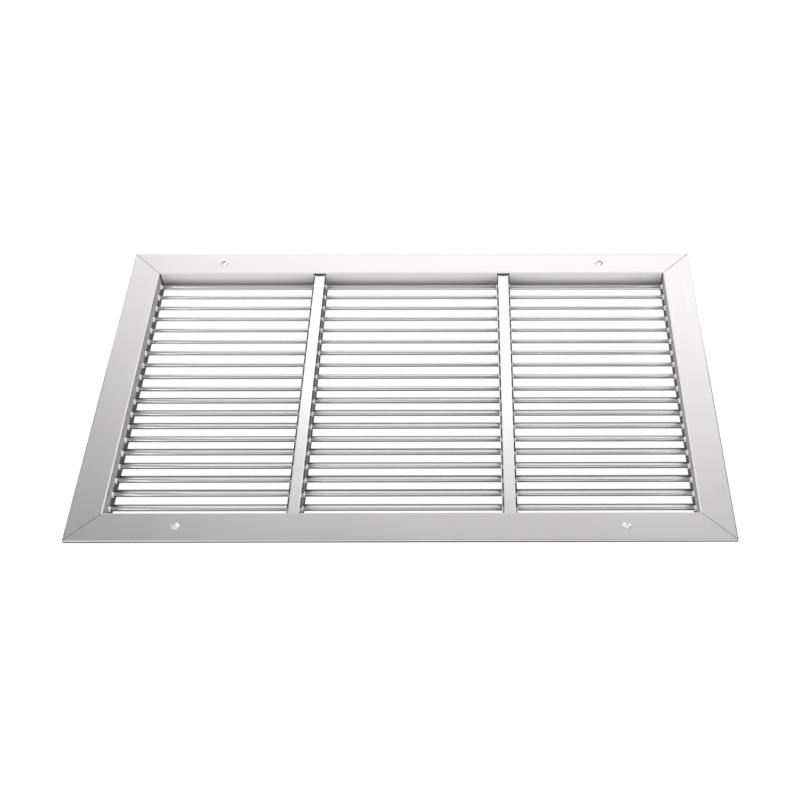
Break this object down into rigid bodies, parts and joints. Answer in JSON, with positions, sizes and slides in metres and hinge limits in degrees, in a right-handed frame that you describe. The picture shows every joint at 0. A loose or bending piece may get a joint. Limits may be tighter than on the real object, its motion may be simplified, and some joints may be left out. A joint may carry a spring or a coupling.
{
  "type": "return air grille",
  "caption": "Rectangular aluminium return air grille: mitred flanged frame with a shallow neck, two upright mullions and individually adjustable aerofoil blades.",
  "frame": {"origin": "middle of the bounding box's bottom, on the plane of the neck's rear rim", "axes": "+X along the blades (the long side), +Y towards the far rail, +Z out of the face of the grille"},
  "size_m": [0.7, 0.436, 0.029],
  "materials": {
    "frame_aluminium": "satin anodised",
    "blade_aluminium": "satin anodised",
    "zinc_steel": "zinc plated",
    "bush_nylon": "moulded nylon"
  },
  "bodies": {
    "frame": {"far_rail": "frame_aluminium", "near_rail": "frame_aluminium", "left_rail": "frame_aluminium", "right_rail": "frame_aluminium", "far_left_corner_key": "zinc_steel", "far_right_corner_key": "zinc_steel", "near_left_corner_key": "zinc_steel", "near_right_corner_key": "zinc_steel", "left_mullion": "frame_aluminium", "right_mullion": "frame_aluminium", "far_left_mullion_screw": "zinc_steel", "far_right_mullion_screw": "zinc_steel", "near_left_mullion_screw": "zinc_steel", "near_right_mullion_screw": "zinc_steel"},
    "blade_01": {"blade_01": "blade_aluminium"},
    "blade_02": {"blade_02": "blade_aluminium"},
    "blade_03": {"blade_03": "blade_aluminium"},
    "blade_04": {"blade_04": "blade_aluminium"},
    "blade_05": {"blade_05": "blade_aluminium"},
    "blade_06": {"blade_06": "blade_aluminium"},
    "blade_07": {"blade_07": "blade_aluminium"},
    "blade_08": {"blade_08": "blade_aluminium"},
    "blade_09": {"blade_09": "blade_aluminium"},
    "blade_10": {"blade_10": "blade_aluminium"},
    "blade_11": {"blade_11": "blade_aluminium"},
    "blade_12": {"blade_12": "blade_aluminium"},
    "blade_13": {"blade_13": "blade_aluminium"},
    "blade_14": {"blade_14": "blade_aluminium"},
    "blade_15": {"blade_15": "blade_aluminium"},
    "blade_16": {"blade_16": "blade_aluminium"},
    "blade_17": {"blade_17": "blade_aluminium"},
    "blade_18": {"blade_18": "blade_aluminium"},
    "blade_19": {"blade_19": "blade_aluminium"}
  },
  "joints": [
    {"name": "blade_01_pivot", "type": "hinge", "parent": "frame", "child": "blade_01", "pos_m": [0, 0.174, 0.0135], "axis": [1, 0, 0], "range_deg": [-69, 2]},
    {"name": "blade_02_pivot", "type": "hinge", "parent": "frame", "child": "blade_02", "pos_m": [0, 0.15505, 0.0135], "axis": [1, 0, 0], "range_deg": [-86, 5]},
    {"name": "blade_03_pivot", "type": "hinge", "parent": "frame", "child": "blade_03", "pos_m": [0, 0.1361, 0.0135], "axis": [1, 0, 0], "range_deg": [-86, 5]},
    {"name": "blade_04_pivot", "type": "hinge", "parent": "frame", "child": "blade_04", "pos_m": [0, 0.11715, 0.0135], "axis": [1, 0, 0], "range_deg": [-88, 5]},
    {"name": "blade_05_pivot", "type": "hinge", "parent": "frame", "child": "blade_05", "pos_m": [0, 0.0982, 0.0135], "axis": [1, 0, 0], "range_deg": [-84, 5]},
    {"name": "blade_06_pivot", "type": "hinge", "parent": "frame", "child": "blade_06", "pos_m": [0, 0.07925, 0.0135], "axis": [1, 0, 0], "range_deg": [-84, 5]},
    {"name": "blade_07_pivot", "type": "hinge", "parent": "frame", "child": "blade_07", "pos_m": [0, 0.0603, 0.0135], "axis": [1, 0, 0], "range_deg": [-87, 5]},
    {"name": "blade_08_pivot", "type": "hinge", "parent": "frame", "child": "blade_08", "pos_m": [0, 0.04135, 0.0135], "axis": [1, 0, 0], "range_deg": [-84, 5]},
    {"name": "blade_09_pivot", "type": "hinge", "parent": "frame", "child": "blade_09", "pos_m": [0, 0.0224, 0.0135], "axis": [1, 0, 0], "range_deg": [-86, 5]},
    {"name": "blade_10_pivot", "type": "hinge", "parent": "frame", "child": "blade_10", "pos_m": [0, 0.00345, 0.0135], "axis": [1, 0, 0], "range_deg": [-85, 5]},
    {"name": "blade_11_pivot", "type": "hinge", "parent": "frame", "child": "blade_11", "pos_m": [0, -0.0155, 0.0135], "axis": [1, 0, 0], "range_deg": [-92, 5]},
    {"name": "blade_12_pivot", "type": "hinge", "parent": "frame", "child": "blade_12", "pos_m": [0, -0.03445, 0.0135], "axis": [1, 0, 0], "range_deg": [-92, 5]},
    {"name": "blade_13_pivot", "type": "hinge", "parent": "frame", "child": "blade_13", "pos_m": [0, -0.0534, 0.0135], "axis": [1, 0, 0], "range_deg": [-92, 5]},
    {"name": "blade_14_pivot", "type": "hinge", "parent": "frame", "child": "blade_14", "pos_m": [0, -0.07235, 0.0135], "axis": [1, 0, 0], "range_deg": [-89, 5]},
    {"name": "blade_15_pivot", "type": "hinge", "parent": "frame", "child": "blade_15", "pos_m": [0, -0.0913, 0.0135], "axis": [1, 0, 0], "range_deg": [-93, 5]},
    {"name": "blade_16_pivot", "type": "hinge", "parent": "frame", "child": "blade_16", "pos_m": [0, -0.11025, 0.0135], "axis": [1, 0, 0], "range_deg": [-90, 5]},
    {"name": "blade_17_pivot", "type": "hinge", "parent": "frame", "child": "blade_17", "pos_m": [0, -0.1292, 0.0135], "axis": [1, 0, 0], "range_deg": [-93, 5]},
    {"name": "blade_18_pivot", "type": "hinge", "parent": "frame", "child": "blade_18", "pos_m": [0, -0.14815, 0.0135], "axis": [1, 0, 0], "range_deg": [-93, 5]},
    {"name": "blade_19_pivot", "type": "hinge", "parent": "frame", "child": "blade_19", "pos_m": [0, -0.1671, 0.0135], "axis": [1, 0, 0], "range_deg": [-89, 5]}
  ]
}
